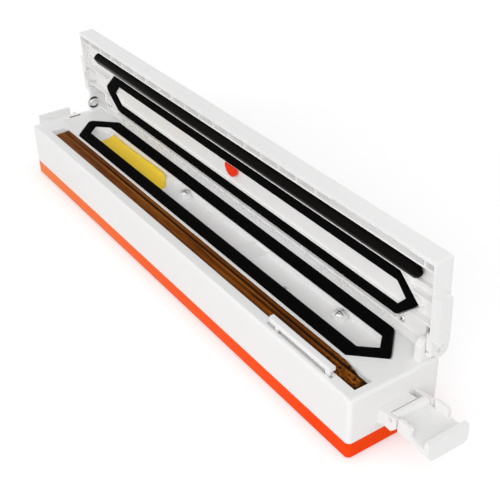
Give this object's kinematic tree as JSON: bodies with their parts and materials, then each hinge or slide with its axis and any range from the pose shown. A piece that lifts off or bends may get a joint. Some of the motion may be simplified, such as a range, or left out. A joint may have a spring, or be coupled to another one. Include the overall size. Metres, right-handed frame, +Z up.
{
  "type": "vacuum sealer",
  "caption": "Long low kitchen vacuum sealer for food bags, with a heater strip and a gasketed channel on its deck under a hinged lid held by a latch at each end.",
  "frame": {"origin": "centre of the resting panel under the housing, on the worktop", "axes": "+X along the length towards the end with the start lever, -Y the front, +Y the hinge side, +Z up"},
  "size_m": [0.4114, 0.0579, 0.093],
  "materials": {
    "white_plastic": "satin moulded",
    "orange_plastic": "satin moulded",
    "black_rubber": "matte",
    "gasket_foam": "matte foam",
    "steel": "bright",
    "bed_fibre": "matte",
    "brown_tape": "coated cloth",
    "lead_insulation": "matte",
    "yellow_label": "matte paper",
    "clear_tube": "satin",
    "black_plastic": "matte",
    "grey_plastic": "matte",
    "board_laminate": "satin",
    "core_steel": "dull",
    "coil_copper": "enamelled",
    "red_plastic": "gloss",
    "lamp": "translucent"
  },
  "bodies": {
    "housing": {"base_tray": "orange_plastic", "rubber_feet": "black_rubber", "base_screws": "steel", "upper_housing": "white_plastic", "heater_bed": "bed_fibre", "heating_element": "steel", "heater_tape": "brown_tape", "heater_terminals": "steel", "heater_leads": "lead_insulation", "lower_gasket": "gasket_foam", "channel_screws": "steel", "channel_label": "yellow_label", "suction_port": "white_plastic", "vacuum_tube": "clear_tube", "pump_motor": "steel", "pump_head": "black_plastic", "pump_rod": "grey_plastic", "circuit_board": "board_laminate", "board_components": "black_plastic", "transformer_core": "core_steel", "transformer_coil": "coil_copper", "lid_switch": "black_plastic", "start_switch": "black_plastic", "lever_pin": "steel", "cord_gland": "black_rubber", "hinge_pins": "steel", "hinge_screw": "steel", "latch_pins": "steel"},
    "pump_rotor": {"motor_shaft": "steel", "motor_eccentric": "black_plastic"},
    "plunger": {"switch_plunger": "red_plastic"},
    "lever": {"start_lever": "white_plastic"},
    "lid": {"lid_shell": "white_plastic", "lid_liner": "white_plastic", "upper_gasket": "gasket_foam", "press_strip": "black_rubber", "lid_screws": "steel", "valve_seal": "black_rubber", "release_spring": "steel", "button_board": "board_laminate", "indicator_lights": "lamp"},
    "release_valve": {"release_button": "red_plastic"},
    "vacuum_key": {"vacuum_button": "grey_plastic"},
    "seal_key": {"seal_button": "grey_plastic"},
    "latch_left": {"left_latch": "white_plastic"},
    "latch_right": {"right_latch": "white_plastic"}
  },
  "joints": [
    {"name": "lid_hinge", "type": "hinge", "parent": "housing", "child": "lid", "pos_m": [0, 0.0243, 0.0426], "axis": [1, 0, 0], "range_deg": [-7, 88]},
    {"name": "right_latch_pivot", "type": "hinge", "parent": "housing", "child": "latch_right", "pos_m": [0.1808, 0.00185, 0.0226], "axis": [0, -1, 0], "range_deg": [0, 90]},
    {"name": "left_latch_pivot", "type": "hinge", "parent": "housing", "child": "latch_left", "pos_m": [-0.1808, 0.00185, 0.0226], "axis": [0, 1, 0], "range_deg": [0, 90]},
    {"name": "start_lever_press", "type": "hinge", "parent": "housing", "child": "lever", "pos_m": [0.152, -0.0232, 0.0338], "axis": [0, -1, 0], "range_deg": [0, 3], "stiffness_Nm_per_rad": 0.05, "springref_deg": -17.19},
    {"name": "lid_switch_press", "type": "slide", "parent": "housing", "child": "plunger", "axis": [0, 0, -1], "range_m": [0, 0.0015], "stiffness_N_per_m": 20, "springref_m": -0.01},
    {"name": "release_press", "type": "slide", "parent": "lid", "child": "release_valve", "axis": [0, -0.9994, -0.0349], "range_m": [0, 0.001], "stiffness_N_per_m": 80, "springref_m": -0.005},
    {"name": "vacuum_press", "type": "slide", "parent": "lid", "child": "vacuum_key", "axis": [0, -0.9994, -0.0349], "range_m": [0, 0.0006], "stiffness_N_per_m": 60, "springref_m": -0.005},
    {"name": "seal_press", "type": "slide", "parent": "lid", "child": "seal_key", "axis": [0, -0.9994, -0.0349], "range_m": [0, 0.0006], "stiffness_N_per_m": 60, "springref_m": -0.005},
    {"name": "pump_turn", "type": "hinge", "parent": "housing", "child": "pump_rotor", "pos_m": [0.075, 0.01, 0.0165], "axis": [1, 0, 0], "continuous": true}
  ]
}
